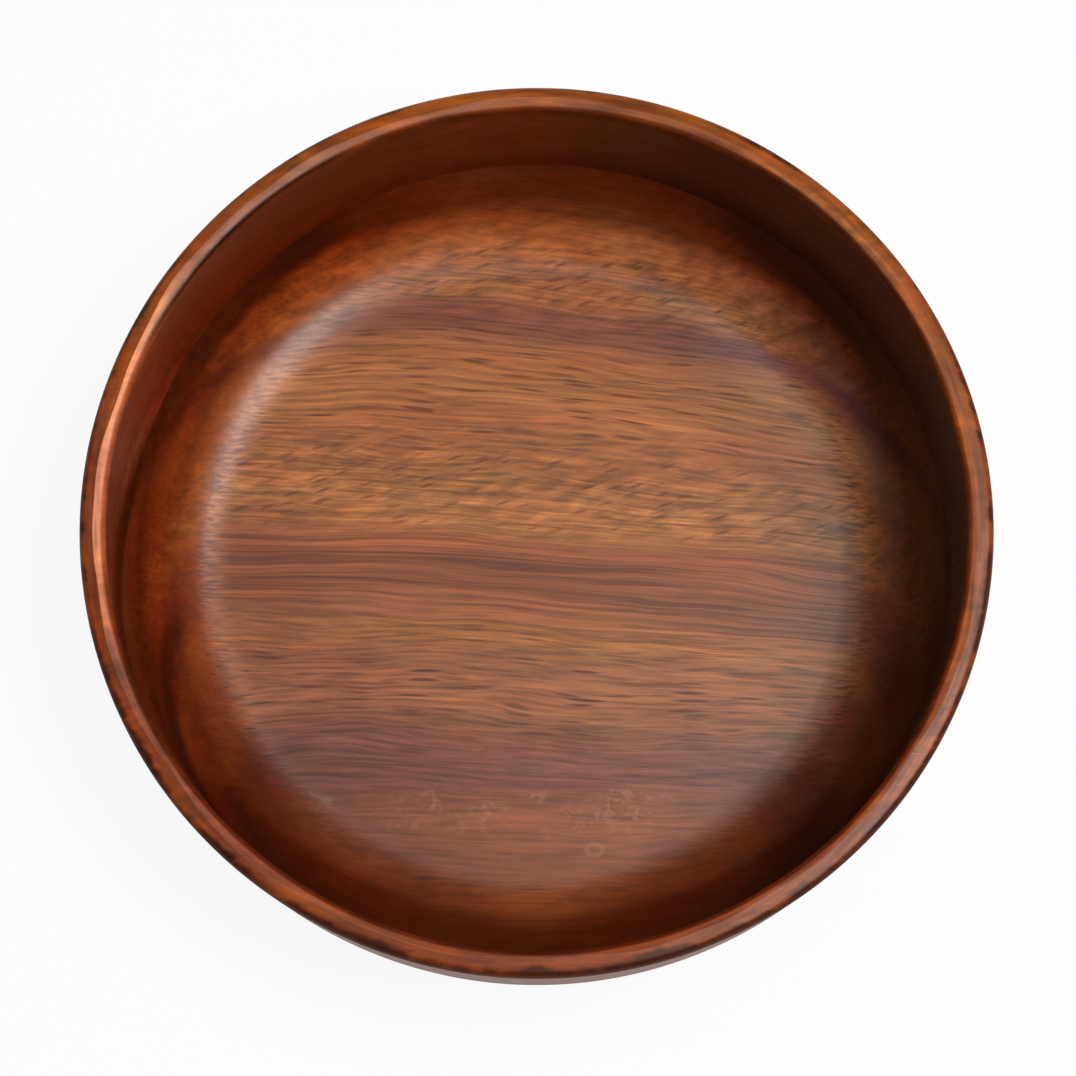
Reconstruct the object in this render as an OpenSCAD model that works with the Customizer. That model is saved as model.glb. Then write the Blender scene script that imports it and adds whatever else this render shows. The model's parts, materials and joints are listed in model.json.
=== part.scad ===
// Turned serving bowl of edge-glued acacia boards, in millimetres.
// The boards run along X and lie side by side along Y, from the front edge (-Y) to the rear edge (+Y).
// The blank is glued up first and turned afterwards, so every board is a slice of one round profile.
// The origin is the centre of the foot, on the surface that the bowl stands on.

/* [Overall] */
// Outside diameter at the rim
bowl_d = 254; // [220:1:320]
// Height from the foot to the top of the rim
bowl_h = 76; // [68:1:110]

/* [Wall and floor] */
// Thickness of the wall at the rim
wall_t = 7.2; // [5:0.1:9]
// Lean of the outer wall in towards the foot, in degrees
wall_lean = 2; // [0:0.25:3]
// Height of the floor inside the bowl above the foot
floor_t = 8; // [6:0.5:14]
// Radius of the cove between the inner wall and the floor
cove_r = 30; // [22:1:34]
// Angle of the crease where the cove meets the inner wall, in degrees
cove_crease = 15; // [0:1:20]
// Radius of the heel, the round lower edge outside
heel_r = 30; // [20:1:32]

/* [Rim] */
// Radius of the rim's outer edge
rim_outer_round = 2.2; // [0.5:0.1:2.4]
// Radius of the rim's inner edge
rim_inner_round = 1.6; // [0.5:0.1:2.4]

/* [Foot] */
// Width of the flat ring that the bowl stands on
foot_ring_w = 24; // [12:1:40]
// Depth of the recess inside that ring
foot_recess = 1.2; // [0.4:0.1:3]

/* [Boards] */
// Width of the centre board
centre_board_w = 26.8; // [18:0.1:36]
// Width of the board behind the centre board
rear_board_w = 56.5; // [40:0.5:66]
// Width of the board in front of the centre board
front_board_w = 53.3; // [40:0.5:66]
// Thickness of each glue line
glue_t = 0.15; // [0.05:0.05:0.4]

/* [Hidden] */
$fn = 180;

// Radii of the outside and of the hollow at the rim
rim_r = bowl_d / 2;
hollow_r = rim_r - wall_t;

// How far the cutting shapes run past the bowl
overrun = 10;

// Centre of the cove's arc, and the height at which the cove meets the wall
cove_x = hollow_r - cove_r * cos(cove_crease);
cove_z = floor_t + cove_r;
crease_z = cove_z - cove_r * sin(cove_crease);

// Height at which the rim is widest, where its outer edge starts to round over
widest_z = bowl_h - rim_outer_round;

// Radius of the leaning outer wall at height z
function outer_r(z) = rim_r - (widest_z - z) * tan(wall_lean);

// Centre of a circle of radius r at height z that touches the leaning outer wall from inside
function touching_x(r, z) = outer_r(z) - r / cos(wall_lean);

// Heel circle, which touches both the outer wall and the foot's plane
heel_x = touching_x(heel_r, heel_r);

// Circles of the rim's two edges
rim_outer_x = touching_x(rim_outer_round, widest_z);
rim_inner_x = hollow_r + rim_inner_round;

// Outer edge of the recess in the foot
recess_r = heel_x - foot_ring_w;

// Places of the four joints along Y
rear_joint = centre_board_w / 2;
rear_edge_joint = rear_joint + rear_board_w;
front_joint = -centre_board_w / 2;
front_edge_joint = front_joint - front_board_w;

// Point on a circle of radius r about (x, z) where the leaning outer wall touches it
function touch_point(r, x, z) = [x + r * cos(wall_lean), z - r * sin(wall_lean)];

// Half section of the outside, from the foot over the heel and up the wall to the rim
module outside_section() {
    polygon([
        [0, 0],
        [heel_x, 0],
        [heel_x, heel_r],
        touch_point(heel_r, heel_x, heel_r),
        touch_point(rim_outer_round, rim_outer_x, widest_z),
        [rim_outer_x, widest_z],
        [rim_outer_x, bowl_h],
        [0, bowl_h]
    ]);
    translate([heel_x, heel_r]) circle(r = heel_r);
    translate([rim_outer_x, widest_z]) circle(r = rim_outer_round);
}

// Half section of the hollow: straight wall, cove and flat floor, open past the rim
module hollow_section() {
    translate([-overrun, crease_z]) square([hollow_r + overrun, bowl_h - crease_z + overrun]);
    translate([-overrun, floor_t]) square([cove_x + overrun, crease_z - floor_t + overrun]);
    intersection() {
        translate([cove_x, cove_z]) circle(r = cove_r);
        translate([cove_x - overrun, floor_t]) square([cove_r + overrun, crease_z - floor_t]);
    }
}

// What the round on the rim's inner edge takes off
module inner_edge_section() {
    difference() {
        translate([hollow_r, bowl_h - rim_inner_round]) square([rim_inner_round, rim_inner_round + overrun]);
        translate([rim_inner_x, bowl_h - rim_inner_round]) circle(r = rim_inner_round);
    }
}

// Half section of the shallow recess in the foot, with a sloped edge
module recess_section() {
    polygon([
        [0, 0],
        [recess_r, 0],
        [recess_r - foot_recess, foot_recess],
        [0, foot_recess]
    ]);
}

// The whole bowl as it comes off the lathe
module turned_bowl() {
    rotate_extrude()
        difference() {
            outside_section();
            hollow_section();
            inner_edge_section();
            recess_section();
        }
}

// The part of the turned bowl that lies between two places along Y
module slice(y_low, y_high) {
    intersection() {
        turned_bowl();
        translate([-rim_r - overrun, y_low, -overrun])
            cube([2 * (rim_r + overrun), y_high - y_low, bowl_h + 2 * overrun]);
    }
}

// One board, from the glue line at its front to the glue line at its rear
module board(front, rear) {
    slice(front + glue_t / 2, rear - glue_t / 2);
}

// The film of glue that fills the joint at y
module glue_line(y) {
    slice(y - glue_t / 2, y + glue_t / 2);
}

module rear_edge_board() {
    color("#7b4426") board(rear_edge_joint, rim_r + overrun);
}

module rear_edge_glue_line() {
    color("#3a1c10") glue_line(rear_edge_joint);
}

module rear_board() {
    color("#96603c") board(rear_joint, rear_edge_joint);
}

module rear_glue_line() {
    color("#3a1c10") glue_line(rear_joint);
}

module centre_board() {
    color("#864a33") board(front_joint, rear_joint);
}

module front_glue_line() {
    color("#3a1c10") glue_line(front_joint);
}

module front_board() {
    color("#945b40") board(front_edge_joint, front_joint);
}

module front_edge_glue_line() {
    color("#3a1c10") glue_line(front_edge_joint);
}

module front_edge_board() {
    color("#7d4730") board(-rim_r - overrun, front_edge_joint);
}

rear_edge_board();
rear_edge_glue_line();
rear_board();
rear_glue_line();
centre_board();
front_glue_line();
front_board();
front_edge_glue_line();
front_edge_board();
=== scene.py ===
"""Dresses a turned acacia serving bowl: boards, glue lines, lacquered wood, studio and camera.

The bowl is glued up from boards that run along X and is then turned about Z. Each board and each glue
line is a slice of one turned form, rebuilt here with finer faces than the frame has and with the small
unevenness of a hand-sanded rim. Meshes and lamps are in metres, and the wood's pattern is in millimetres.
"""

import json
import logging
import math
from dataclasses import dataclass, field, fields
from enum import Enum, auto

import bmesh
import bpy
from mathutils import Matrix, Vector


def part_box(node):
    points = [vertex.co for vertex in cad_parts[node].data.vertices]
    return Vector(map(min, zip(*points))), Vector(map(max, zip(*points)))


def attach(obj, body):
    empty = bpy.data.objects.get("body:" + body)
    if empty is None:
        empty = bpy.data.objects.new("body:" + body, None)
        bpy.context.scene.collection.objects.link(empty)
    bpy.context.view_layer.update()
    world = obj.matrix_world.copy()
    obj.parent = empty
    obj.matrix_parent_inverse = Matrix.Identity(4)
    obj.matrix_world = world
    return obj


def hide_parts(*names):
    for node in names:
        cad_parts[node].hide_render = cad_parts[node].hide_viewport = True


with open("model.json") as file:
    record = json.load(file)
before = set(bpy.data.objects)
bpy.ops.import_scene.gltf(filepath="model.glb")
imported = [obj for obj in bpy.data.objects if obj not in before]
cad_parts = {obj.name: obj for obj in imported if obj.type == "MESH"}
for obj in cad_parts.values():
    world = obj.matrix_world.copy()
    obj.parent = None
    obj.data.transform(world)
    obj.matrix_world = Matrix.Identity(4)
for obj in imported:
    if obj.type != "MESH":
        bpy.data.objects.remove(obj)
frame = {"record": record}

MM = 0.001
BODY = "root"
QUARTER = math.pi / 2
ROUNDING = 1e-6
WHITE = (1.0, 1.0, 1.0, 1.0)

# Sockets of the Mix node: its two values, or its two colours and the colour that comes out
VALUE_A, VALUE_B = 2, 3
COLOUR_A, COLOUR_B, COLOUR_OUT = 6, 7, 2

Tree = bpy.types.NodeTree
Node = bpy.types.Node
Socket = bpy.types.NodeSocket
Source = Node | Socket

log = logging.getLogger("bowl")


def linear(hex_colour: str) -> tuple[float, float, float, float]:
    """Turns an sRGB hex colour into linear RGBA.

    Args:
        hex_colour: six hex digits, such as "8f5230".

    Returns:
        The colour as Blender's shader sockets take it, with full alpha.
    """
    channels = [int(hex_colour[i:i + 2], 16) / 255 for i in (0, 2, 4)]
    return (*(c / 12.92 if c <= 0.04045 else ((c + 0.055) / 1.055) ** 2.4 for c in channels), 1.0)


def bare_material(name: str) -> bpy.types.Material:
    """Starts a material with an empty node tree.

    Args:
        name: the material's name.

    Returns:
        The new material.
    """
    made = bpy.data.materials.new(name)
    made.use_nodes = True
    made.node_tree.nodes.clear()
    return made


def add(tree: Tree, kind: str, inputs: dict | None = None, **settings: object) -> Node:
    """Adds one shader node, with its settings, its values and the links into it.

    Args:
        tree: the node tree that the node joins.
        kind: the node's type, without the ShaderNode prefix.
        inputs: for each input, by name or index, a constant, the socket to link from, or a node whose
            first output is linked.
        settings: attributes of the node itself, such as operation or blend_type.

    Returns:
        The new node.
    """
    made = tree.nodes.new("ShaderNode" + kind)
    for name, value in settings.items():
        setattr(made, name, value)
    for key, value in (inputs or {}).items():
        if isinstance(value, Node):
            value = value.outputs[0]
        if isinstance(value, Socket):
            tree.links.new(value, made.inputs[key])
        else:
            made.inputs[key].default_value = value
    return made


class Board(Enum):
    """The boards of the blank, from the far side of the photograph to the near side."""

    REAR_EDGE = "rear_edge_board"
    REAR = "rear_board"
    CENTRE = "centre_board"
    FRONT = "front_board"
    FRONT_EDGE = "front_edge_board"


class Joint(Enum):
    """The glue lines between the boards, from the far side to the near side."""

    REAR_EDGE = "rear_edge_glue_line"
    REAR = "rear_glue_line"
    FRONT = "front_glue_line"
    FRONT_EDGE = "front_edge_glue_line"


@dataclass
class TurnedForm:
    """The round form that the lathe leaves: its half section, and the mesh turned from it.

    Radius and height come from the frame. The rest are the same sizes that the solids have, apart from the
    two facets that hand sanding leaves along the rim, with a soft ridge between them. A sanding wave is its
    count round the rim, its phase and its share of the bevel's width.
    """

    rim_r: float
    height: float
    wall: float = 7.2 * MM
    wall_lean: float = math.radians(2.0)
    floor: float = 8.0 * MM
    cove_r: float = 30.0 * MM
    cove_crease: float = math.radians(15.0)
    heel_r: float = 30.0 * MM
    rim_outer_round: float = 2.2 * MM
    rim_inner_round: float = 1.6 * MM
    foot_ring: float = 24.0 * MM
    foot_recess: float = 1.2 * MM
    bevel: float = 1.3 * MM
    bevel_slope: float = math.radians(14.0)
    crown_slope: float = math.radians(7.0)
    ridge_r: float = 1.2 * MM
    least_bevel: float = 0.08
    sanding_waves: tuple = (
        (1, -2.36, 0.28), (3, 0.7, 0.08), (7, 2.1, 0.24), (13, 4.4, 0.28), (29, 1.3, 0.14),
    )
    segments: int = 360
    arc_step: float = math.radians(3.0)
    edge_step: float = math.radians(11.0)
    ridge_step: float = math.radians(5.0)
    wall_rings: int = 12
    floor_rings: int = 10
    sharp_angle: float = math.radians(13.0)

    def arc(self, centre: tuple, radius: float, start: float, end: float, step: float) -> list:
        """Lists points along an arc of the half section.

        Args:
            centre: radius and height of the arc's centre.
            radius: the arc's radius.
            start: angle of the first point, 0 pointing outwards and a quarter turn pointing up.
            end: angle of the last point.
            step: the largest angle between two points.

        Returns:
            Points as (radius, height), both ends included.
        """
        count = max(1, math.ceil(abs(end - start) / step - ROUNDING))
        angles = [start + (end - start) * i / count for i in range(count + 1)]
        return [(centre[0] + radius * math.cos(a), centre[1] + radius * math.sin(a)) for a in angles]

    def line(self, start: tuple, end: tuple, count: int) -> list:
        """Lists the points inside a straight stretch of the half section, without its two ends."""
        (r, z), (r_end, z_end) = start, end
        return [(r + (r_end - r) * i / count, z + (z_end - z) * i / count) for i in range(1, count)]

    def bevel_width(self, turn: float) -> float:
        """Gives the width of the sanded bevel along the rim's inner edge at one angle."""
        waves = sum(share * math.cos(count * turn + phase) for count, phase, share in self.sanding_waves)
        return self.bevel * max(self.least_bevel, 1.0 + waves)

    def half_section(self, turn: float) -> list:
        """Lists the outline of the half section at one angle round the bowl.

        Args:
            turn: the angle round the axis, which sets the width of the sanded bevel.

        Returns:
            Points as (radius, height), from the middle of the floor over the rim to the middle of the foot.
        """
        hollow_r = self.rim_r - self.wall
        cove_centre = (hollow_r - self.cove_r * math.cos(self.cove_crease), self.floor + self.cove_r)
        slope, crown, width = self.bevel_slope, self.crown_slope, self.bevel_width(turn)
        ridge = (hollow_r + self.rim_inner_round + width, self.height - self.ridge_r)
        # A facet that touches two circles drops by their difference in radius as well as by its own slope
        edge_x = hollow_r + self.rim_inner_round
        edge_z = ridge[1] - width * math.tan(slope)
        edge_z += (self.ridge_r - self.rim_inner_round) / math.cos(slope)
        widest = self.height - self.rim_outer_round
        outer_x = self.rim_r - self.rim_outer_round / math.cos(self.wall_lean)
        outer_z = ridge[1] - (outer_x - ridge[0]) * math.tan(crown)
        outer_z += (self.ridge_r - self.rim_outer_round) / math.cos(crown)
        heel_wall = self.rim_r - (widest - self.heel_r) * math.tan(self.wall_lean)
        heel_centre = (heel_wall - self.heel_r / math.cos(self.wall_lean), self.heel_r)
        recess_r = heel_centre[0] - self.foot_ring

        middle = (0.0, self.floor)
        cove = self.arc(cove_centre, self.cove_r, -QUARTER, -self.cove_crease, self.arc_step)
        inward, outward, fine = QUARTER + slope, QUARTER - crown, self.edge_step
        inner_edge = self.arc((edge_x, edge_z), self.rim_inner_round, 2 * QUARTER, inward, fine)
        ridge_edge = self.arc(ridge, self.ridge_r, inward, outward, self.ridge_step)
        outer_edge = self.arc((outer_x, outer_z), self.rim_outer_round, outward, -self.wall_lean, fine)
        heel = self.arc(heel_centre, self.heel_r, -self.wall_lean, -QUARTER, self.arc_step)
        foot = [(recess_r, 0.0), (recess_r - self.foot_recess, self.foot_recess), (0.0, self.foot_recess)]

        return [
            middle,
            *self.line(middle, cove[0], self.floor_rings),
            *cove,
            *self.line(cove[-1], inner_edge[0], self.wall_rings),
            *inner_edge,
            *ridge_edge,
            *outer_edge,
            *self.line(outer_edge[-1], heel[0], self.wall_rings),
            *heel,
            *foot,
        ]

    def turned(self) -> bmesh.types.BMesh:
        """Turns the half section into the whole bowl.

        Returns:
            A closed mesh; the caller frees it.
        """
        made = bmesh.new()
        rings = []
        for j in range(self.segments):
            turn = 2 * math.pi * j / self.segments
            rings.append([
                None if r == 0.0 else made.verts.new((r * math.cos(turn), r * math.sin(turn), z))
                for r, z in self.half_section(turn)
            ])
        section = self.half_section(0.0)
        poles = {i: made.verts.new((0.0, 0.0, z)) for i, (r, z) in enumerate(section) if r == 0.0}
        for j, ring in enumerate(rings):
            after = rings[(j + 1) % self.segments]
            for i in range(len(section) - 1):
                corners = (ring[i], after[i], after[i + 1], ring[i + 1])
                if i in poles:
                    corners = (poles[i], after[i + 1], ring[i + 1])
                elif i + 1 in poles:
                    corners = (ring[i], after[i], poles[i + 1])
                made.faces.new(corners)
        bmesh.ops.recalc_face_normals(made, faces=made.faces)
        return made

    def slice(self, name: str, low: float, high: float) -> bpy.types.Object:
        """Cuts the piece of the turned bowl that lies between two planes square to Y.

        Args:
            name: the new object's name.
            low: place of the nearer plane along Y.
            high: place of the farther plane along Y.

        Returns:
            A closed object at the origin, linked to the scene.
        """
        work = self.turned()
        caps = []
        for place, side in ((low, {"clear_inner": True}), (high, {"clear_outer": True})):
            if abs(place) >= self.rim_r - MM:
                continue
            everything = [*work.verts, *work.edges, *work.faces]
            plane = {"plane_co": (0, place, 0), "plane_no": (0, 1, 0)}
            cut = bmesh.ops.bisect_plane(work, geom=everything, **plane, **side)
            edges = [e for e in cut["geom_cut"] if isinstance(e, bmesh.types.BMEdge)]
            caps += bmesh.ops.contextual_create(work, geom=edges)["faces"]
        bmesh.ops.recalc_face_normals(work, faces=work.faces)
        flat = set(caps)
        for face in work.faces:
            face.smooth = face not in flat
        for edge in work.edges:
            edge.smooth = edge.calc_face_angle(0.0) < self.sharp_angle
        mesh = bpy.data.meshes.new(name)
        work.to_mesh(mesh)
        work.free()
        piece = bpy.data.objects.new(name, mesh)
        bpy.context.scene.collection.objects.link(piece)
        return piece


@dataclass(frozen=True)
class Gradation:
    """Tints spread over a range from 0 to 1, each with its place in that range."""

    stops: tuple

    def colour(self, tree: Tree, place: Source) -> Socket:
        """Gives the tint at one place.

        Args:
            tree: the material's node tree.
            place: the place in the range.

        Returns:
            The tint as a colour.
        """
        made = add(tree, "ValToRGB", {0: place})
        elements = made.color_ramp.elements
        while len(elements) < len(self.stops):
            elements.new(1.0)
        for element, (position, tint) in zip(elements, self.stops):
            element.position = position
            element.color = (*tint, 1.0)
        return made.outputs[0]


# Growth layers of the wood, in mm across them: colour, then the share of long lines, of short pore dashes
# and of curly figure. The pattern repeats after the last row.
LAYERS = (
    (-45.0, "9a4c20", 0.3, 0.3, 0.8),
    (-42.0, "743714", 0.3, 0.3, 0.6),
    (-38.0, "85421f", 0.3, 0.3, 0.4),
    (-35.0, "8a4622", 0.3, 0.3, 0.3),
    (-33.0, "8b4825", 0.3, 0.3, 0.2),
    (-30.5, "924f2b", 0.2, 0.3, 0.2),
    (-28.0, "93502d", 0.2, 0.4, 0.1),
    (-25.5, "854730", 0.3, 0.4, 0.1),
    (-23.0, "804531", 0.4, 0.4, 0.1),
    (-20.0, "7f4534", 0.3, 0.5, 0.0),
    (-17.5, "874a31", 0.3, 0.7, 0.0),
    (-15.5, "9a5a31", 0.3, 1.0, 0.0),
    (-12.0, "a15c32", 0.3, 1.0, 0.0),
    (-9.0, "9d5a30", 0.3, 0.9, 0.0),
    (-7.5, "a8642e", 0.2, 0.6, 0.0),
    (-5.4, "a5602b", 0.4, 0.5, 0.0),
    (-4.2, "975229", 1.0, 0.4, 0.0),
    (0.0, "934d26", 1.0, 0.3, 0.0),
    (3.5, "9a5328", 1.0, 0.4, 0.1),
    (5.5, "ab672f", 0.4, 0.4, 0.6),
    (9.0, "ab6932", 0.2, 0.4, 1.0),
    (13.0, "a4602c", 0.2, 0.5, 0.9),
    (16.0, "a45d2d", 0.4, 0.8, 0.3),
    (19.0, "ab6630", 0.6, 0.8, 0.0),
    (23.0, "ad6731", 0.5, 0.8, 0.0),
    (26.0, "9b582f", 0.6, 0.7, 0.1),
    (27.6, "864630", 0.6, 0.6, 0.1),
    (29.2, "884831", 0.5, 0.5, 0.4),
    (31.5, "a25c2b", 0.3, 0.4, 0.9),
    (36.0, "a85d2d", 0.2, 0.3, 1.0),
    (41.0, "a85a2b", 0.2, 0.3, 1.0),
    (45.0, "9a4c20", 0.3, 0.3, 0.8),
)

# How oil deepens the colour of side grain, with painted shade on the steep faces at the rear and the front
# of the hollow: surfaces that face the front, level ones, and those that face the rear.
SIDE_GRAIN_OIL_AND_SHADE = Gradation((
    (0.000, (0.60, 0.41, 0.35)),
    (0.015, (0.56, 0.36, 0.29)),
    (0.067, (0.55, 0.34, 0.23)),
    (0.117, (0.62, 0.44, 0.32)),
    (0.146, (0.90, 0.72, 0.52)),
    (0.179, (0.96, 0.86, 0.72)),
    (0.213, (0.90, 0.84, 0.74)),
    (0.250, (0.98, 0.97, 0.94)),
    (0.330, (0.86, 0.86, 0.85)),
    (0.380, (0.90, 0.88, 0.84)),
    (0.460, (1.00, 1.00, 1.00)),
    (0.590, (1.00, 1.00, 1.00)),
    (0.671, (1.00, 0.97, 0.90)),
    (0.711, (0.92, 0.84, 0.66)),
    (0.750, (0.62, 0.44, 0.28)),
    (0.787, (0.57, 0.42, 0.27)),
    (0.821, (0.52, 0.39, 0.28)),
    (0.933, (0.48, 0.34, 0.22)),
    (1.000, (0.62, 0.48, 0.42)),
))

# How oil deepens the colour of end grain, with painted light and shade: surfaces that face left, level
# ones, and those that face right. Painted sheen tints the steepest faces, a faint painted highlight
# lightens the gently sloping left cove, and painted shade darkens the left cove towards the crease.
END_GRAIN_OIL_AND_LIGHT = Gradation((
    (0.000, (0.50, 0.86, 2.00)),
    (0.015, (0.42, 0.44, 0.75)),
    (0.067, (0.43, 0.40, 0.55)),
    (0.117, (0.54, 0.52, 0.72)),
    (0.179, (0.68, 0.58, 0.74)),
    (0.250, (0.76, 0.68, 0.98)),
    (0.289, (0.92, 0.83, 1.08)),
    (0.329, (0.99, 0.89, 1.02)),
    (0.371, (1.00, 0.90, 0.96)),
    (0.413, (1.06, 0.95, 0.88)),
    (0.460, (1.00, 0.97, 0.92)),
    (0.500, (1.00, 1.00, 1.00)),
    (0.570, (1.08, 1.09, 1.08)),
    (0.620, (0.97, 0.81, 0.64)),
    (0.671, (0.87, 0.57, 0.33)),
    (0.711, (0.85, 0.56, 0.29)),
    (0.750, (0.76, 0.47, 0.21)),
    (0.787, (0.57, 0.32, 0.17)),
    (0.821, (0.65, 0.35, 0.20)),
    (0.854, (0.72, 0.38, 0.22)),
    (0.883, (0.61, 0.27, 0.17)),
    (0.910, (0.47, 0.21, 0.13)),
    (0.940, (0.32, 0.12, 0.06)),
    (0.970, (0.57, 0.24, 0.16)),
    (0.985, (0.50, 0.22, 0.18)),
    (1.000, (0.70, 0.52, 0.60)),
))

# How oil deepens the colour of the upright inner wall, from the left end of the boards to the right, with
# painted shade darkest towards the right and a painted sheen, purple at the left end and bluish at the
# right.
WALL_OIL_SHADE_AND_SHEEN = Gradation((
    (0.000, (0.64, 0.44, 0.56)),
    (0.008, (0.92, 0.78, 0.88)),
    (0.030, (0.98, 0.48, 0.28)),
    (0.067, (0.66, 0.23, 0.11)),
    (0.117, (0.63, 0.22, 0.11)),
    (0.179, (0.53, 0.20, 0.10)),
    (0.250, (0.53, 0.22, 0.11)),
    (0.329, (0.50, 0.21, 0.13)),
    (0.413, (0.62, 0.34, 0.31)),
    (0.500, (0.65, 0.38, 0.37)),
    (0.587, (0.41, 0.28, 0.26)),
    (0.671, (0.24, 0.14, 0.20)),
    (0.750, (0.13, 0.04, 0.06)),
    (0.821, (0.13, 0.05, 0.08)),
    (0.883, (0.22, 0.13, 0.20)),
    (0.933, (0.35, 0.37, 0.70)),
    (0.970, (0.37, 0.50, 1.05)),
    (0.992, (0.43, 0.88, 2.35)),
    (1.000, (0.34, 0.84, 2.60)),
))


@dataclass(frozen=True)
class Grain:
    """What the parts of the wood pattern share: lengths in mm, and directions from -1 to 1.

    After the node tree come the nine that a Bound is measured along. Then follow the place in plan, the way
    the surface faces, the share outside, and the place along plain and curly grain and across the layers.
    """

    tree: Tree
    x: Socket
    y: Socket
    z: Socket
    away_x: Socket
    away_y: Socket
    radius: Socket
    right: Socket
    level: Socket
    blots: Socket
    flat: Socket
    normal: Socket
    outside: Socket
    place: Socket
    curled: Socket
    layer: Socket


@dataclass(frozen=True)
class Fade:
    """A soft change from 0 at low to 1 at high, which falls where low is the larger."""

    low: float
    high: float

    def share(self, tree: Tree, value: Source) -> Node:
        """Gives how far a value has come from low to high."""
        span = {"From Min": self.low, "From Max": self.high}
        return add(tree, "MapRange", {"Value": value, **span}, interpolation_type="SMOOTHSTEP")


@dataclass(frozen=True)
class Bound(Fade):
    """A soft edge by place: a fade along a weighted sum of what the grain gives.

    The weights are for the place, the distances from the middle planes and the axis, how far the surface
    faces right and up, and how far stain runs out in blots.
    """

    x: float = 0.0
    y: float = 0.0
    z: float = 0.0
    away_x: float = 0.0
    away_y: float = 0.0
    radius: float = 0.0
    right: float = 0.0
    level: float = 0.0
    blots: float = 0.0

    def at(self, grain: Grain) -> Node:
        """Gives the share at a point of the surface.

        Args:
            grain: the place in the wood.

        Returns:
            The node that gives the share.
        """
        total = 0.0
        for weight in fields(self)[len(fields(Fade)):]:
            factor = getattr(self, weight.name)
            if factor:
                term = {0: getattr(grain, weight.name), 1: factor, 2: total}
                total = add(grain.tree, "Math", term, operation="MULTIPLY_ADD")
        return self.share(grain.tree, total)


@dataclass(frozen=True)
class Streak:
    """Streaks in the wood: length, width and depth in mm, and the lowest and highest factor."""

    size: tuple
    low: float
    high: float
    detail: float = 3.0
    breakup: float = 0.55
    spread: float = 0.18

    def tone(self, tree: Tree, place: Source) -> Node:
        """Draws the streaks.

        Args:
            tree: the material's node tree.
            place: the place along the grain, in mm.

        Returns:
            The node that gives the factor.
        """
        at = add(tree, "VectorMath", {0: place, 1: self.size}, operation="DIVIDE")
        look = {"Scale": 1.0, "Detail": self.detail, "Roughness": self.breakup}
        noise = add(tree, "TexNoise", {"Vector": at, **look})
        drawn = {"From Min": 0.5 - self.spread, "From Max": 0.5 + self.spread}
        return add(tree, "MapRange", {"Value": noise, **drawn, "To Min": self.low, "To Max": self.high})


@dataclass(frozen=True)
class Pore:
    """One kind of open pore, a dark dash along the grain; no two are equally dark.

    Cell is the size in mm of the stretched cell that holds one dash, reach the share of the cell that it
    takes to each side, and depth its darkness.
    """

    cell: tuple
    reach: float
    depth: float
    darkest_from: float = 0.8

    def dark(self, tree: Tree, place: Source) -> Node:
        """Draws the dashes.

        Args:
            tree: the material's node tree.
            place: the place along the grain, in mm.

        Returns:
            The node that gives the darkness, from 0 to depth.
        """
        at = add(tree, "VectorMath", {0: place, 1: self.cell}, operation="DIVIDE")
        cells = add(tree, "TexVoronoi", {"Vector": at, "Scale": 1.0})
        span = {"From Min": 0.5 * self.reach, "From Max": self.reach, "To Min": self.depth, "To Max": 0.0}
        dash = add(tree, "MapRange", {"Value": cells.outputs["Distance"], **span})
        pick = add(tree, "SeparateColor", {0: cells.outputs["Color"]})
        pick = add(tree, "MapRange", {"Value": pick, "From Min": 0.0, "From Max": self.darkest_from})
        return add(tree, "Math", {0: dash, 1: pick}, operation="MULTIPLY")


class Region(Enum):
    """The stretch of surface that a mark keeps to."""

    ANYWHERE = auto()
    RIM = auto()
    HOLLOW = auto()
    INNER_WALL = auto()
    BELOW_RIM = auto()


@dataclass(frozen=True)
class Mark:
    """A tint in one place, with soft edges, from oil, wear or the growth of the wood, or painted light or
    shade.
    """

    tint: tuple
    region: Region
    bounds: tuple

    def colour(self, grain: Grain, regions: dict) -> Socket:
        """Draws the mark.

        Args:
            grain: the place in the wood.
            regions: for each region, the share of it at the place.

        Returns:
            The tint where the mark is, and white elsewhere.
        """
        share = regions[self.region]
        for bound in self.bounds:
            share = add(grain.tree, "Math", {0: share, 1: bound.at(grain)}, operation="MULTIPLY")
        mixed = {0: share, COLOUR_A: WHITE, COLOUR_B: (*self.tint, 1.0)}
        return add(grain.tree, "Mix", mixed, data_type="RGBA").outputs[COLOUR_OUT]


# Edges of the left wall towards the middle of the bowl and towards the cove
LEFT_WALL = (Bound(-80.0, -112.0, x=1), Bound(25.0, 32.0, z=1))

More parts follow.
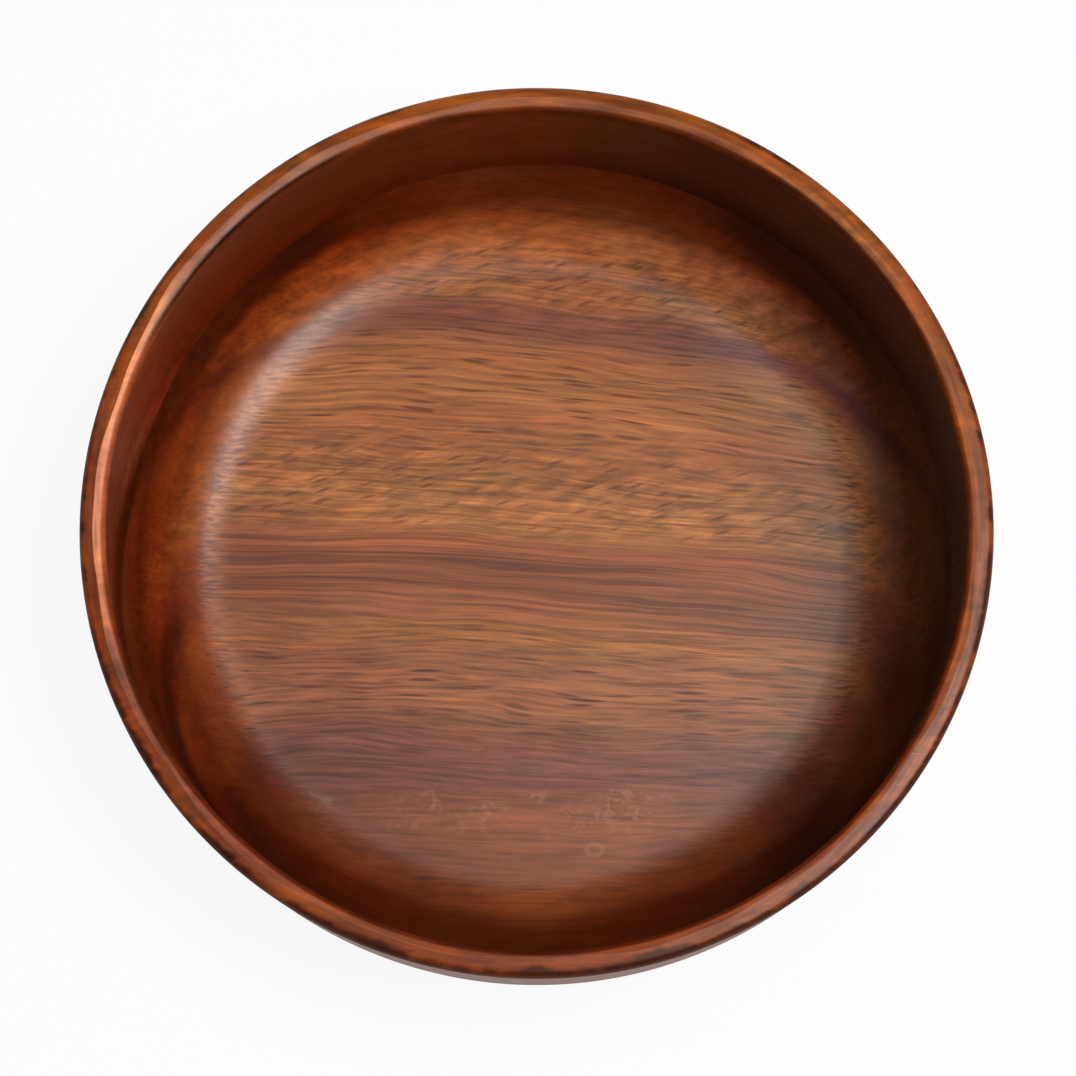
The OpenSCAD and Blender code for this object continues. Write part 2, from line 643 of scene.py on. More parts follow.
MARKS = (
    # Stain gathers in blots along the rim's outer edge, and painted shade darkens the edge where it rounds
    # away; both are wider at the front
    Mark((0.24, 0.17, 0.13), Region.RIM, (Bound(124.6, 127.0, radius=1, y=-0.009, blots=1),)),
    # Painted highlight on the rim's inner facet where it faces the key lamp, with some wear, most at the
    # left
    Mark((2.95, 4.60, 8.40), Region.RIM, (
        Bound(-55.0, -100.0, x=1, away_y=0.4),
        Bound(-50.0, -8.0, y=1),
        Bound(0.03, 0.11, right=1),
    )),
    # Painted highlight, paler and bluish, on the rim's inner facet at the right, which leans left
    Mark((1.28, 1.42, 1.75), Region.RIM, (Bound(-0.05, -0.14, right=1), Bound(30.0, 100.0, x=1))),
    # Painted shade darkens its inner edge, where it rounds over into the wall
    Mark((0.60, 0.44, 0.36), Region.RIM, (Bound(121.3, 120.7, radius=1),)),
    # Painted reflection on the left wall: a dark band that climbs towards the front, with a painted sheen
    # above it
    Mark((0.18, 0.08, 0.12), Region.INNER_WALL, (
        Bound(33.0, 40.0, z=1, y=0.62),
        Bound(60.0, 46.0, z=1, y=0.62),
        *LEFT_WALL,
    )),
    # The painted sheen above the dark band
    Mark((1.15, 1.40, 2.60), Region.INNER_WALL, (Bound(46.0, 60.0, z=1, y=0.62), *LEFT_WALL)),
    # A darker line runs under the crease, at both sides of the rear half
    Mark((0.36, 0.32, 0.40), Region.HOLLOW, (
        Bound(18.5, 22.5, z=1),
        Bound(0.10, 0.20, level=1),
        Bound(30.0, 65.0, y=1),
        Bound(45.0, 70.0, away_x=1),
    )),
    # A dark streak crosses the left cove
    Mark((0.46, 0.46, 0.70), Region.ANYWHERE, (
        Bound(5.8, 8.8, z=1, y=0.277),
        Bound(13.0, 10.0, z=1, y=0.277),
        Bound(-70.0, -95.0, x=1),
        Bound(-8.0, -24.0, y=1),
    )),
    # Painted shade darkens the right ends of the boards, where the right wall shades the cove, and a little
    # the left ends
    Mark((0.60, 0.66, 0.80), Region.BELOW_RIM, (Bound(55.0, 125.0, x=1, away_y=0.10, y=-0.25),)),
    # Painted shade, a little, at the left ends
    Mark((0.84, 0.77, 0.80), Region.BELOW_RIM, (Bound(-45.0, -80.0, x=1, y=0.5),)),
    # Painted shade darkens the front left and front right of the hollow, where the near wall shades the
    # cove; the floor is also darker at the rear right
    Mark((0.69, 0.64, 0.61), Region.HOLLOW, (Bound(-102.0, -126.0, x=0.8, y=1),)),
    Mark((0.71, 0.57, 0.38), Region.HOLLOW, (Bound(-102.0, -126.0, x=-0.8, y=1),)),
    # Darker on the floor at the rear right
    Mark((0.76, 0.79, 0.92), Region.BELOW_RIM, (
        Bound(58.0, 88.0, x=1, y=0.5),
        Bound(0.95, 0.99, level=1),
    )),
    # The cove is paler and pinker at the rear right, and a painted highlight lightens it where it turns up
    # at the rear left
    Mark((1.02, 1.26, 1.75), Region.BELOW_RIM, (
        Bound(112.0, 130.0, x=1, y=1),
        Bound(0.66, 0.82, level=1),
    )),
    # Painted highlight where the cove turns up at the rear left
    Mark((1.18, 1.38, 1.55), Region.BELOW_RIM, (
        Bound(-100.0, -114.0, x=1, y=-0.5),
        Bound(0.74, 0.84, level=1),
        Bound(0.96, 0.91, level=1),
    )),
)


@dataclass(frozen=True)
class Sawing:
    """How the boards lay in the tree, which sets where the surface crosses the growth layers.

    Lengths are in mm. The grain sweeps down to the right in slow waves, and curly figure climbs.
    """

    dip: float = math.radians(20.5)
    floor_height: float = 8.0
    layer_shift: float = 0.0
    sweep_from: float = -90.0
    sweep: float = 0.13 / 360
    sweep_rear: float = 0.0013 / 360
    wave_size: tuple = (90.0, 26.0, 26.0)
    wave_detail: float = 2.0
    wave_height: float = 13.0
    curl_climb: float = -0.30
    wide_blot: Streak = Streak((24.0, 14.0, 14.0), -1.4, 1.2)
    small_blot: Streak = Streak((9.0, 5.0, 5.0), -0.9, 0.9)
    outer_wall: Fade = Fade(60.0, 115.0)
    underside: Fade = Fade(-0.05, -0.30)

    def grain(self, tree: Tree) -> Grain:
        """Works out where a point lies in the bowl and in the tree that was sawn.

        Args:
            tree: the material's node tree.

        Returns:
            What the parts of the pattern share.
        """
        at = add(tree, "TexCoord")
        normal = at.outputs["Normal"]
        mm = add(tree, "VectorMath", {0: at.outputs["Object"], "Scale": 1 / MM}, operation="SCALE")
        x, y, z = add(tree, "SeparateXYZ", {0: mm}).outputs
        right, _, level = add(tree, "SeparateXYZ", {0: normal}).outputs
        flat = add(tree, "CombineXYZ", {0: x, 1: y, 2: 0.0}).outputs[0]
        radius = add(tree, "VectorMath", {0: flat}, operation="LENGTH").outputs["Value"]
        away_x, away_y = (add(tree, "Math", {0: v}, operation="ABSOLUTE").outputs[0] for v in (x, y))
        outward = add(tree, "VectorMath", {0: normal, 1: flat}, operation="DOT_PRODUCT").outputs["Value"]
        outside = {0: self.outer_wall.share(tree, outward), 1: self.underside.share(tree, level)}
        outside = add(tree, "Math", outside, operation="MAXIMUM").outputs[0]
        # The sweep grows with the distance from the left, more so towards the rear
        ahead = add(tree, "Math", {0: x, 1: self.sweep_from}, operation="SUBTRACT")
        ahead = add(tree, "Math", {0: ahead, 1: 2.0}, operation="POWER")
        bend = add(tree, "Math", {0: y, 1: self.sweep_rear, 2: self.sweep}, operation="MULTIPLY_ADD")
        swept = add(tree, "Math", {0: ahead, 1: bend, 2: y}, operation="MULTIPLY_ADD")
        wave = add(tree, "CombineXYZ", {0: x, 1: swept, 2: z})
        wave = add(tree, "VectorMath", {0: wave, 1: self.wave_size}, operation="DIVIDE")
        wave = add(tree, "TexNoise", {"Vector": wave, "Scale": 1.0, "Detail": self.wave_detail})
        wave = add(tree, "Math", {0: wave, 1: -0.5}, operation="ADD")
        along = add(tree, "Math", {0: wave, 1: self.wave_height, 2: swept}, operation="MULTIPLY_ADD")
        place = add(tree, "CombineXYZ", {0: x, 1: along, 2: z}).outputs[0]
        climb = add(tree, "Math", {0: x, 1: self.curl_climb, 2: y}, operation="MULTIPLY_ADD")
        curled = add(tree, "CombineXYZ", {0: x, 1: climb, 2: z}).outputs[0]
        # Growth layers lie nearly flat in the boards, so the floor crosses few of them and the wall many
        base = self.layer_shift - self.floor_height * math.cos(self.dip)
        rise = add(tree, "Math", {0: z, 1: math.cos(self.dip), 2: base}, operation="MULTIPLY_ADD")
        layer = add(tree, "Math", {0: along, 1: math.sin(self.dip), 2: rise}, operation="MULTIPLY_ADD")
        blots = {0: self.wide_blot.tone(tree, place), 1: self.small_blot.tone(tree, place)}
        blots = add(tree, "Math", blots, operation="ADD").outputs[0]
        measures = (x, y, z, away_x, away_y, radius, right, level, blots)
        return Grain(tree, *measures, flat, normal, outside, place, curled, layer.outputs[0])


@dataclass(frozen=True)
class OilAndPaintedLight:
    """How oil deepens the wood's own colour, together with painted light and shade: on steep faces, on the
    rim, outside, and in marks by place.

    The tints by facing and on the upright wall hold painted shade and painted sheen as well as oil. The rim
    is redder at the front left and more golden at the rear right, where the gold is partly painted sheen.
    Lengths are in mm.
    """

    hollow_r: float = 119.8
    outside: tuple = (0.94, 0.60, 0.47, 1.0)
    rim_near: tuple = (0.96, 0.64, 0.40, 1.0)
    rim_far: tuple = (0.98, 0.78, 0.36, 1.0)
    upright: Bound = Bound(0.22, 0.06, level=1)
    rim_rear: Bound = Bound(-90.0, 110.0, x=0.6, y=1)
    rim_top: Bound = Bound(72.4, 74.2, z=1)
    hollow: Bound = Bound(121.6, 120.6, radius=1)
    marks: tuple = MARKS

    def regions(self, grain: Grain) -> dict:
        """Works out where the regions lie that marks keep to.

        Args:
            grain: the place in the wood.

        Returns:
            For each region, the share of it at the place.
        """
        tree = grain.tree
        rim, hollow = self.rim_top.at(grain), self.hollow.at(grain)
        beyond = add(tree, "Math", {0: rim, 1: grain.outside}, operation="MAXIMUM")
        return {
            Region.ANYWHERE: 1.0,
            Region.RIM: rim,
            Region.HOLLOW: hollow,
            Region.INNER_WALL: add(tree, "Math", {0: hollow, 1: rim}, operation="SUBTRACT"),
            Region.BELOW_RIM: add(tree, "Math", {0: 1.0, 1: beyond}, operation="SUBTRACT"),
        }

    def colour(self, grain: Grain) -> Socket:
        """Works out the oil's deepening together with the painted light and shade.

        Args:
            grain: the place in the wood.

        Returns:
            A colour to multiply the wood's own colour by.
        """
        tree = grain.tree
        half = (0.5, 0.5, 0.5)
        facing = add(tree, "VectorMath", {0: grain.normal, 1: half, 2: half}, operation="MULTIPLY_ADD")
        right, rear, _ = add(tree, "SeparateXYZ", {0: facing}).outputs
        # Tints by the way the surface faces: oil on steep faces, with painted shade, sheen and highlight
        tints = {0: SIDE_GRAIN_OIL_AND_SHADE.colour(tree, rear), 1: END_GRAIN_OIL_AND_LIGHT.colour(tree, right)}
        steep = add(tree, "VectorMath", tints, operation="MULTIPLY")
        across = add(tree, "Math", {0: grain.x, 1: 0.5 / self.hollow_r, 2: 0.5}, operation="MULTIPLY_ADD")
        # The upright inner wall takes painted shade and painted sheen along with oil
        wall = WALL_OIL_SHADE_AND_SHEEN.colour(tree, across)
        # On the rim the gold at the rear right is partly painted sheen
        rim = {0: self.rim_rear.at(grain), COLOUR_A: self.rim_near, COLOUR_B: self.rim_far}
        rim = add(tree, "Mix", rim, data_type="RGBA").outputs[COLOUR_OUT]
        regions = self.regions(grain)
        oil_and_shading = steep.outputs[0]
        for share, tint in (
            (self.upright.at(grain), wall),
            (grain.outside, self.outside),
            (regions[Region.RIM], rim),
        ):
            mixed = {0: share, COLOUR_A: oil_and_shading, COLOUR_B: tint}
            oil_and_shading = add(tree, "Mix", mixed, data_type="RGBA").outputs[COLOUR_OUT]
        for mark in self.marks:
            tint = mark.colour(grain, regions)
            oil_and_shading = add(tree, "VectorMath", {0: oil_and_shading, 1: tint}, operation="MULTIPLY").outputs[0]
        return oil_and_shading


@dataclass(frozen=True)
class AcaciaFinish:
    """Acacia, turned, sanded, oiled and wiped with satin lacquer.

    To the eye: broad bands of tan, red and purple brown where the surface crosses the growth layers, fine
    streaks and dark open pores along the grain, a soft shine, and a deeper colour in the coves and on the
    rim, partly oil and partly painted shade, with painted highlights and sheen on the rim and the walls.
    Away from the floor the bands run together. The rim is sanded to one tone, with a soft mottle and
    with paler and darker sanding marks along it. Sizes of the pattern are in mm.
    """

    name: str
    tone: float = 1.0
    sawing: Sawing = Sawing()
    oil: OilAndPaintedLight = OilAndPaintedLight()
    streakiness: float = 1.0
    flecked: bool = False

    plain: str = "95522b"
    pore: str = "582513"
    redder: tuple = (1.03, 0.93, 0.86, 1.0)
    golden: tuple = (0.98, 1.06, 1.12, 1.0)
    rim: Bound = Bound(70.0, 74.0, z=1)
    upright: Bound = Bound(0.6, 0.2, level=1)
    slope: Bound = Bound(0.99, 0.88, level=1)
    calmness: float = 0.65
    sanded: float = 0.6
    filled: float = 0.8

    broad: Streak = Streak((110.0, 5.5, 5.5), 0.86, 1.14)
    broken: Streak = Streak((16.0, 0.95, 0.95), 0.42, 1.58)
    long: Streak = Streak((80.0, 1.05, 1.05), 0.48, 1.52)
    curl: Streak = Streak((10.0, 3.6, 3.6), 0.70, 1.32)
    warmth: Streak = Streak((40.0, 9.0, 9.0), 0.0, 1.0)
    mottle: Streak = Streak((15.0, 6.0, 6.0), 0.55, 1.45)
    sanding: Streak = Streak((18.0, 18.0, 1.8), 0.60, 1.28)
    sanding_r: float = 124.0

    # Soft dashes, a little wider than the real 0.5 mm so that they show
    line_pore: Pore = Pore((58.0, 2.0, 2.0), 0.34, 0.66)
    dash_pore: Pore = Pore((16.0, 1.5, 1.5), 0.42, 0.96)
    curl_pore: Pore = Pore((8.0, 1.6, 1.6), 0.42, 0.74)

    fleck: str = "b47d60"
    fleck_strength: float = 0.55
    fleck_size: tuple = (3.4, 2.8, 3.0)
    fleck_detail: float = 2.0
    fleck_twist: float = 1.2
    fleck_edge: Fade = Fade(0.48, 0.74)
    fleck_patch: float = 13.0
    fleck_patch_detail: float = 1.0
    fleck_patch_edge: Fade = Fade(0.44, 0.58)
    fleck_bounds: tuple = (
        Bound(-84.0, -74.0, y=1),
        Bound(-64.0, -69.0, y=1),
        Bound(-84.0, -64.0, x=1),
        Bound(48.0, 28.0, x=1),
        Bound(0.96, 0.99, level=1),
    )
    knot: tuple = (16.8, -84.6, 0.0)
    knot_squash: tuple = (0.72, 1.0, 0.0)
    knot_inner: Fade = Fade(0.8, 1.6)
    knot_outer: Fade = Fade(2.6, 1.8)
    knot_strength: float = 0.6

    roughness: float = 0.285
    streak_tones: tuple = (0.7, 1.24)
    streak_roughness: tuple = (0.04, -0.03)
    rim_dull: float = 0.10
    outside_dull: float = 0.20
    ior: float = 1.45
    shine: float = 0.40
    lacquer: tuple = (1.0, 0.91, 0.85, 1.0)
    relief: float = 0.06 * MM
    relief_strength: float = 0.3
    pore_relief: float = 0.7

    def layers(self, grain: Grain) -> tuple:
        """Draws the growth layers that the surface crosses.

        Args:
            grain: the place in the wood.

        Returns:
            The layers' colour, and the shares of long lines, short dashes and curly figure.
        """
        tree = grain.tree
        low, high = LAYERS[0][0], LAYERS[-1][0]
        span = high - low
        places = [(row[0] - low) / span for row in LAYERS]
        turn = add(tree, "Math", {0: grain.layer, 1: 1 / span, 2: -low / span}, operation="MULTIPLY_ADD")
        turn = add(tree, "Math", {0: turn}, operation="FRACT")
        colours = Gradation(tuple((at, linear(row[1])[:3]) for at, row in zip(places, LAYERS)))
        shares = Gradation(tuple((at, row[2:]) for at, row in zip(places, LAYERS)))
        figure = add(tree, "SeparateColor", {0: shares.colour(tree, turn)}).outputs
        return colours.colour(tree, turn), figure

    def sanding_marks(self, grain: Grain) -> Node:
        """Draws the paler and darker dashes that hand sanding leaves along the rim.

        Args:
            grain: the place in the wood.

        Returns:
            The node that gives a factor on the colour.
        """
        tree = grain.tree
        round_rim = add(tree, "VectorMath", {0: grain.flat}, operation="NORMALIZE")
        round_rim = add(tree, "VectorMath", {0: round_rim, "Scale": self.sanding_r}, operation="SCALE")
        across = add(tree, "CombineXYZ", {2: grain.radius})
        place = add(tree, "VectorMath", {0: round_rim, 1: across}, operation="ADD")
        return self.sanding.tone(tree, place)

    def streaks(self, grain: Grain, figure: list, rim: Source, slope: Source) -> Node:
        """Draws the fine streaks along the grain, which sanding softens on slopes and takes off the rim.

        Args:
            grain: the place in the wood.
            figure: the shares of long lines, short dashes and curly figure.
            rim: the share of the rim.
            slope: the share of sloping, sanded surface.

        Returns:
            The node that gives a factor on the colour.
        """
        tree = grain.tree
        broken, long = self.broken.tone(tree, grain.place), self.long.tone(tree, grain.place)
        fine = add(tree, "Mix", {0: figure[0], VALUE_A: broken, VALUE_B: long})
        fine = add(tree, "Mix", {0: rim, VALUE_A: fine, VALUE_B: self.mottle.tone(tree, grain.place)})
        sanded = add(tree, "Math", {0: slope, 1: self.sanded}, operation="MULTIPLY")
        fine = add(tree, "Mix", {0: sanded, VALUE_A: fine, VALUE_B: 1.0})
        fine = add(tree, "Mix", {0: self.streakiness, VALUE_A: 1.0, VALUE_B: fine})
        marks = add(tree, "Mix", {0: rim, VALUE_A: 1.0, VALUE_B: self.sanding_marks(grain)})
        return add(tree, "Math", {0: fine, 1: marks}, operation="MULTIPLY")

    def pores(self, grain: Grain, figure: list, slope: Source) -> Node:
        """Draws the three kinds of open pore, most of which are filled on slopes.

        Args:
            grain: the place in the wood.
            figure: the shares of long lines, short dashes and curly figure.
            slope: the share of sloping, sanded surface.

        Returns:
            The node that gives the pores' darkness.
        """
        tree = grain.tree
        total = 0.0
        kinds = (self.line_pore, self.dash_pore, self.curl_pore)
        places = (grain.place, grain.place, grain.curled)
        for pore, place, share in zip(kinds, places, figure):
            dark = add(tree, "Math", {0: pore.dark(tree, place), 1: share}, operation="MULTIPLY")
            total = add(tree, "Math", {0: dark, 1: total}, operation="MAXIMUM")
        open_share = add(tree, "Math", {0: slope, 1: -self.filled, 2: 1.0}, operation="MULTIPLY_ADD")
        return add(tree, "Math", {0: total, 1: open_share}, operation="MULTIPLY")

    def flecks(self, grain: Grain) -> Node:
        """Draws light flecks where the grain interlocks near the front of the floor, and a pin knot's ring.

        Args:
            grain: the place in the wood.

        Returns:
            The node that gives how much lighter the wood is.
        """
        tree = grain.tree
        at = add(tree, "VectorMath", {0: grain.place, 1: self.fleck_size}, operation="DIVIDE")
        look = {"Scale": 1.0, "Detail": self.fleck_detail, "Distortion": self.fleck_twist}
        noise = add(tree, "TexNoise", {"Vector": at, **look})
        spots = self.fleck_edge.share(tree, noise)
        at = add(tree, "VectorMath", {0: grain.place, "Scale": 1 / self.fleck_patch}, operation="SCALE")
        noise = add(tree, "TexNoise", {"Vector": at, "Scale": 1.0, "Detail": self.fleck_patch_detail})
        patches = self.fleck_patch_edge.share(tree, noise)
        for share in (patches, *(bound.at(grain) for bound in self.fleck_bounds)):
            spots = add(tree, "Math", {0: spots, 1: share}, operation="MULTIPLY")
        away = add(tree, "VectorMath", {0: grain.flat, 1: self.knot}, operation="SUBTRACT")
        away = add(tree, "VectorMath", {0: away, 1: self.knot_squash}, operation="MULTIPLY")
        away = add(tree, "VectorMath", {0: away}, operation="LENGTH").outputs["Value"]
        ring = self.knot_strength
        for edge in (self.knot_inner, self.knot_outer):
            ring = add(tree, "Math", {0: ring, 1: edge.share(tree, away)}, operation="MULTIPLY")
        spots = add(tree, "Math", {0: spots, 1: ring}, operation="MAXIMUM")
        return add(tree, "Math", {0: spots, 1: self.fleck_strength}, operation="MULTIPLY")

    def material(self) -> bpy.types.Material:
        """Builds the wood as a solid pattern, so that every cut through a board shows the same layers.

        Returns:
            The finished material.
        """
        made = bare_material(self.name)
        tree = made.node_tree
        grain = self.sawing.grain(tree)
        bands, figure = self.layers(grain)
        rim = self.rim.at(grain)
        inside = add(tree, "Math", {0: 1.0, 1: grain.outside}, operation="SUBTRACT")
        shares = []
        for bound in (self.slope, self.upright):
            share = add(tree, "Math", {0: bound.at(grain), 1: inside}, operation="MULTIPLY")
            shares.append(add(tree, "Math", {0: share, 1: rim}, operation="MAXIMUM"))
        slope, calm = shares
        calm = add(tree, "Math", {0: calm, 1: self.calmness}, operation="MULTIPLY")
        bands = {0: calm, COLOUR_A: bands, COLOUR_B: linear(self.plain)}
        bands = add(tree, "Mix", bands, data_type="RGBA").outputs[COLOUR_OUT]
        fine = self.streaks(grain, figure, rim, slope)
        curl = add(tree, "Mix", {0: figure[2], VALUE_A: 1.0, VALUE_B: self.curl.tone(tree, grain.curled)})
        tone = self.tone
        for factor in (self.broad.tone(tree, grain.place), fine, curl):
            tone = add(tree, "Math", {0: tone, 1: factor}, operation="MULTIPLY")
        wood = add(tree, "VectorMath", {0: bands, "Scale": tone}, operation="SCALE")
        warm = {0: self.warmth.tone(tree, grain.place), COLOUR_A: self.redder, COLOUR_B: self.golden}
        warm = add(tree, "Mix", warm, data_type="RGBA").outputs[COLOUR_OUT]
        wood = add(tree, "VectorMath", {0: wood, 1: warm}, operation="MULTIPLY").outputs[0]
        pores = self.pores(grain, figure, slope)
        inlays = [(pores, self.pore)]
        if self.flecked:
            inlays.append((self.flecks(grain), self.fleck))
        for share, colour in inlays:
            mixed = {0: share, COLOUR_A: wood, COLOUR_B: linear(colour)}
            wood = add(tree, "Mix", mixed, data_type="RGBA").outputs[COLOUR_OUT]
        # Oil deepening and painted light and shade (shade in coves and creases, highlights and sheen on the
        # rim and walls) multiply the wood's colour
        wood = add(tree, "VectorMath", {0: wood, 1: self.oil.colour(grain)}, operation="MULTIPLY")
        height = add(tree, "Math", {0: pores, 1: -self.pore_relief, 2: fine}, operation="MULTIPLY_ADD")
        relief = {"Strength": self.relief_strength, "Distance": self.relief, "Height": height}
        bump = add(tree, "Bump", relief)
        # Darker streaks are rougher, and the rim and the outside are polished less than the inside
        span = {"From Min": self.streak_tones[0], "From Max": self.streak_tones[1]}
        span["To Min"], span["To Max"] = (self.roughness + change for change in self.streak_roughness)
        rough = add(tree, "MapRange", {"Value": fine, **span})
        for share, more in ((rim, self.rim_dull), (grain.outside, self.outside_dull)):
            rough = add(tree, "Math", {0: share, 1: more, 2: rough}, operation="MULTIPLY_ADD")
        gloss = {"IOR": self.ior, "Specular IOR Level": self.shine, "Specular Tint": self.lacquer}
        shader = {"Base Color": wood, "Normal": bump, "Roughness": rough, **gloss}
        shader = add(tree, "BsdfPrincipled", shader)
        add(tree, "OutputMaterial", {"Surface": shader})
        return made


@dataclass(frozen=True)
class GlueFinish:
    """Cured wood glue tinted to the wood and turned flush: to the eye a hair-thin, uneven brown line.

    It takes the oil and the painted light and shade as the wood does, so it deepens on the coves and the
    rim. Blot is in mm.
    """

    name: str = "tinted_wood_glue"
    sawing: Sawing = Sawing()
    oil: OilAndPaintedLight = OilAndPaintedLight()
    thin: str = "95532c"
    thick: str = "7a4022"
    blot: float = 6.0
    blot_detail: float = 2.0
    roughness: float = 0.30
    outside_dull: float = 0.20
    ior: float = 1.45
    shine: float = 0.40

    def material(self) -> bpy.types.Material:
        """Builds the glue, darker where more of it was left in the joint.

        Returns:
            The finished material.
        """
        made = bare_material(self.name)
        tree = made.node_tree
        grain = self.sawing.grain(tree)
        at = add(tree, "VectorMath", {0: grain.place, "Scale": 1 / self.blot}, operation="SCALE")
        noise = add(tree, "TexNoise", {"Vector": at, "Scale": 1.0, "Detail": self.blot_detail})
        glue = {0: noise, COLOUR_A: linear(self.thin), COLOUR_B: linear(self.thick)}
        glue = add(tree, "Mix", glue, data_type="RGBA").outputs[COLOUR_OUT]
        # The same oil deepening and painted light and shade as on the wood
        glue = add(tree, "VectorMath", {0: glue, 1: self.oil.colour(grain)}, operation="MULTIPLY")
        rough = {0: grain.outside, 1: self.outside_dull, 2: self.roughness}
        rough = add(tree, "Math", rough, operation="MULTIPLY_ADD")
        gloss = {"Roughness": rough, "IOR": self.ior, "Specular IOR Level": self.shine}
        shader = add(tree, "BsdfPrincipled", {"Base Color": glue, **gloss})
        add(tree, "OutputMaterial", {"Surface": shader})
        return made


@dataclass
class Bowl:
    """The glued and turned bowl: its boards and the glue lines between them."""

    form: TurnedForm
    rear_tone: float = 1.02
    centre_tone: float = 0.98
    front_edge_tone: float = 0.98
    front_edge_shift: float = -3.0
    front_edge_streaks: float = 0.6
    pieces: list = field(default_factory=list)

    def build(self) -> None:
        """Cuts every board and glue line out of the turned form, where the frame has its node."""
        for part in (*Board, *Joint):
            low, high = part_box(part.value)
            piece = self.form.slice("dressed_" + part.value, low.y, high.y)
            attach(piece, BODY)
            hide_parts(part.value)
            self.pieces.append((part, piece))
            log.info("cut %s between y %.1f and %.1f mm", part.value, low.y / MM, high.y / MM)

    def board_finish(self, board: Board, slot: str) -> AcaciaFinish:
        """Chooses the wood of one board.

        Args:
            board: which board it is.
            slot: the record's name for its finish.

        Returns:
            The finish. The front edge board is sawn from slightly deeper layers, with quieter streaks and
            with flecks.
        """
        if board is Board.FRONT_EDGE:
            deeper, streaks = Sawing(layer_shift=self.front_edge_shift), self.front_edge_streaks
            return AcaciaFinish(slot, self.front_edge_tone, deeper, streakiness=streaks, flecked=True)
        tones = {Board.REAR: self.rear_tone, Board.CENTRE: self.centre_tone}
        return AcaciaFinish(slot, tones.get(board, 1.0))

    def dress(self, record: dict) -> None:
        """Gives each piece its finish and names the slot that it stands for.

        Args:
            record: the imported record, whose sub-parts say which slot each node takes.
        """
        slots = {row["node"]: row["material_slot"] for row in record["subparts"]}
        glue = GlueFinish().material()
        for part, piece in self.pieces:
            slot = slots[part.value]
            finish = glue if isinstance(part, Joint) else self.board_finish(part, slot).material()
            piece.data.materials.append(finish)
            log.info("dressed %s in %s", piece.name, finish.name)


@dataclass(frozen=True)
class Lamp:
    """A soft rectangular lamp: centre, long and short side, direction of the long one, and radiance."""

    name: str
    place: tuple
    size: tuple
    along: tuple
    level: float

    def hang(self, target: Vector) -> None:
        """Hangs the lamp so that it faces a point.

        Args:
            target: the point.
        """
        data = bpy.data.lights.new(self.name, "AREA")
        data.shape = "RECTANGLE"
        data.size, data.size_y = self.size
        data.energy = self.level * math.pi * self.size[0] * self.size[1]
        made = bpy.data.objects.new(self.name, data)
        back = (Vector(self.place) - target).normalized()
        side = Vector(self.along)
        side = (side - back * side.dot(back)).normalized()
        turned = Matrix((side, back.cross(side), back)).transposed()
        made.matrix_world = Matrix.Translation(self.place) @ turned.to_4x4()
        bpy.context.scene.collection.objects.link(made)


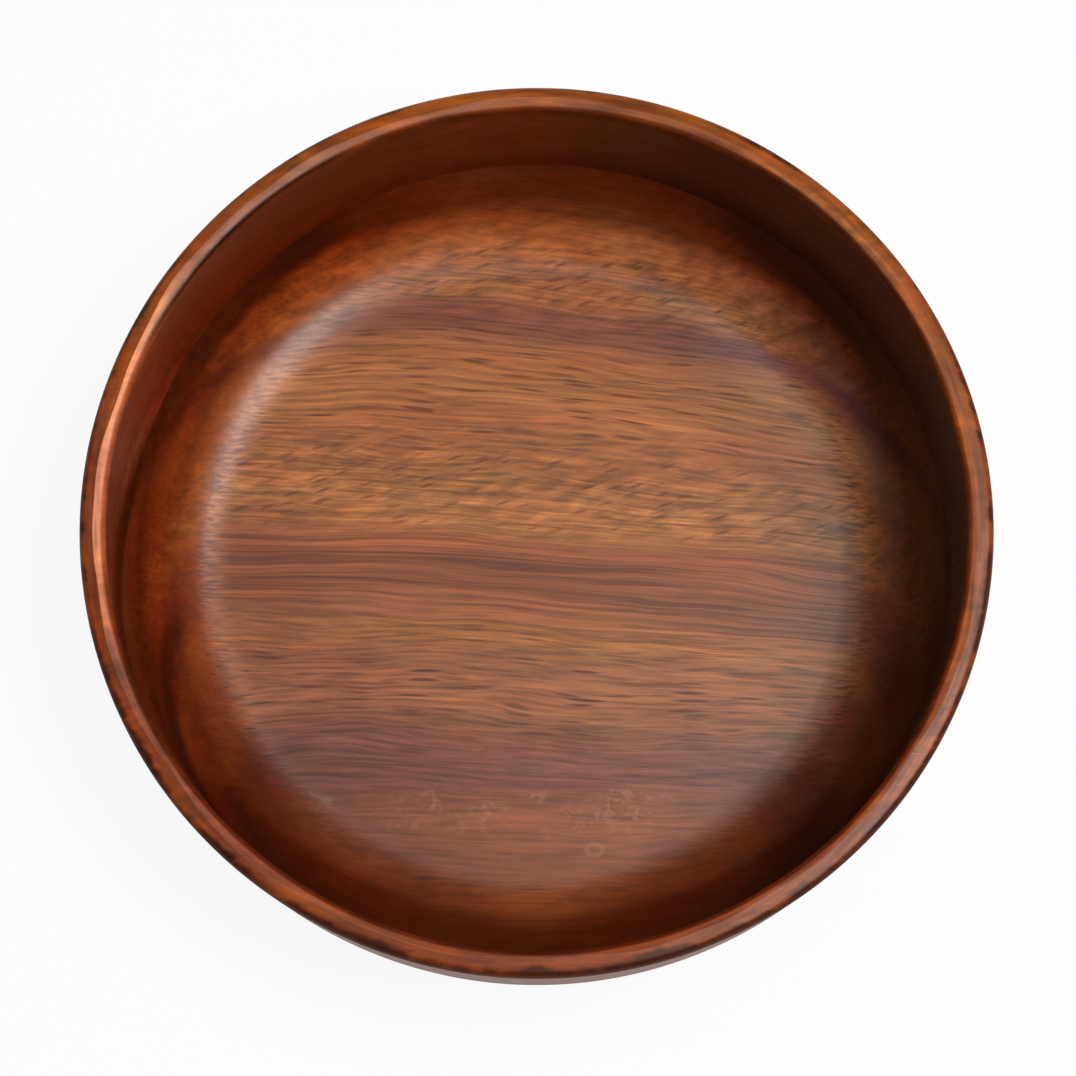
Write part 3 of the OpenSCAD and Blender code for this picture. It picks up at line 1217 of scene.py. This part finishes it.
@dataclass
class Studio:
    """Pale floor, two soft lamps, dim even surroundings and the camera at the photograph's angle."""

    rim_centre: Vector
    image_px: float = 1076.0
    rim_centre_px: tuple = (536.7, 516.1)
    focal_px: float = 2897.0
    sensor: float = 36.0
    distance: float = 0.803
    tilt: float = math.radians(13.3)
    floor_size: float = 8.0
    floor_gap: float = 0.05 * MM
    floor_colour: str = "f4f2ef"
    floor_white: float = 0.92
    surround: float = 0.10
    key: Lamp = Lamp("key_softbox", (0.585, -0.080, 1.49), (0.76, 0.5), (-0.40, 0.92, 0.0), 15.2)
    bounce: Lamp = Lamp("overhead_bounce", (-0.031, 0.290, 1.568), (0.87, 0.52), (1.0, 0.0, 0.0), 2.2)

    def camera(self) -> None:
        """Places the camera and aims it so that the rim's centre falls where the photograph has it."""
        away = Vector((0.0, -math.sin(self.tilt), math.cos(self.tilt)))
        facing = away.to_track_quat("Z", "Y")
        per_px = self.distance / self.focal_px
        column, row = self.rim_centre_px
        shift = Vector((self.image_px / 2 - column, row - self.image_px / 2, 0.0)) * per_px
        aim = self.rim_centre + facing @ shift
        data = bpy.data.cameras.new("photo_camera")
        data.sensor_width = self.sensor
        data.lens = self.focal_px / self.image_px * self.sensor
        made = bpy.data.objects.new("photo_camera", data)
        made.location = self.rim_centre + away * self.distance
        made.rotation_euler = (made.location - aim).to_track_quat("Z", "Y").to_euler()
        bpy.context.scene.collection.objects.link(made)
        bpy.context.scene.camera = made

    def floor(self) -> None:
        """Lays the pale floor, which shows white to the camera and still takes the bowl's shadow."""
        half = self.floor_size / 2
        mesh = bpy.data.meshes.new("floor")
        corners = [(x * half, y * half, -self.floor_gap) for x, y in ((-1, -1), (1, -1), (1, 1), (-1, 1))]
        mesh.from_pydata(corners, [], [(0, 1, 2, 3)])
        made = bpy.data.objects.new("floor", mesh)
        bpy.context.scene.collection.objects.link(made)
        material = bare_material("pale_paper_floor")
        tree = material.node_tree
        paper = add(tree, "BsdfDiffuse", {"Color": linear(self.floor_colour)})
        white = add(tree, "Emission", {"Color": WHITE, "Strength": 1.0})
        ray = add(tree, "LightPath").outputs
        seen = add(tree, "Math", {0: ray["Is Camera Ray"], 1: ray["Is Glossy Ray"]}, operation="MAXIMUM")
        seen = add(tree, "Math", {0: seen, 1: ray["Is Transmission Ray"]}, operation="MAXIMUM")
        share = add(tree, "Math", {0: seen, 1: self.floor_white}, operation="MULTIPLY")
        mixed = add(tree, "MixShader", {0: share, 1: paper, 2: white})
        add(tree, "OutputMaterial", {"Surface": mixed})
        mesh.materials.append(material)

    def build(self) -> None:
        """Sets up the camera, the floor, the lamps and the plain surroundings."""
        self.camera()
        self.floor()
        self.key.hang(self.rim_centre)
        self.bounce.hang(self.rim_centre)
        world = bpy.data.worlds.new("dim_studio")
        world.use_nodes = True
        sky = world.node_tree.nodes["Background"]
        sky.inputs["Color"].default_value = WHITE
        sky.inputs["Strength"].default_value = self.surround
        bpy.context.scene.world = world
        bpy.context.scene.view_settings.view_transform = "Standard"


def main() -> None:
    logging.basicConfig(level=logging.INFO, format="%(name)s: %(message)s")
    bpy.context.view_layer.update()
    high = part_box(Board.CENTRE.value)[1]
    bowl = Bowl(TurnedForm(rim_r=high.x, height=high.z))
    bowl.build()
    bowl.dress(frame["record"])
    Studio(rim_centre=Vector((0.0, 0.0, high.z))).build()


if __name__ == "__main__":
    main()
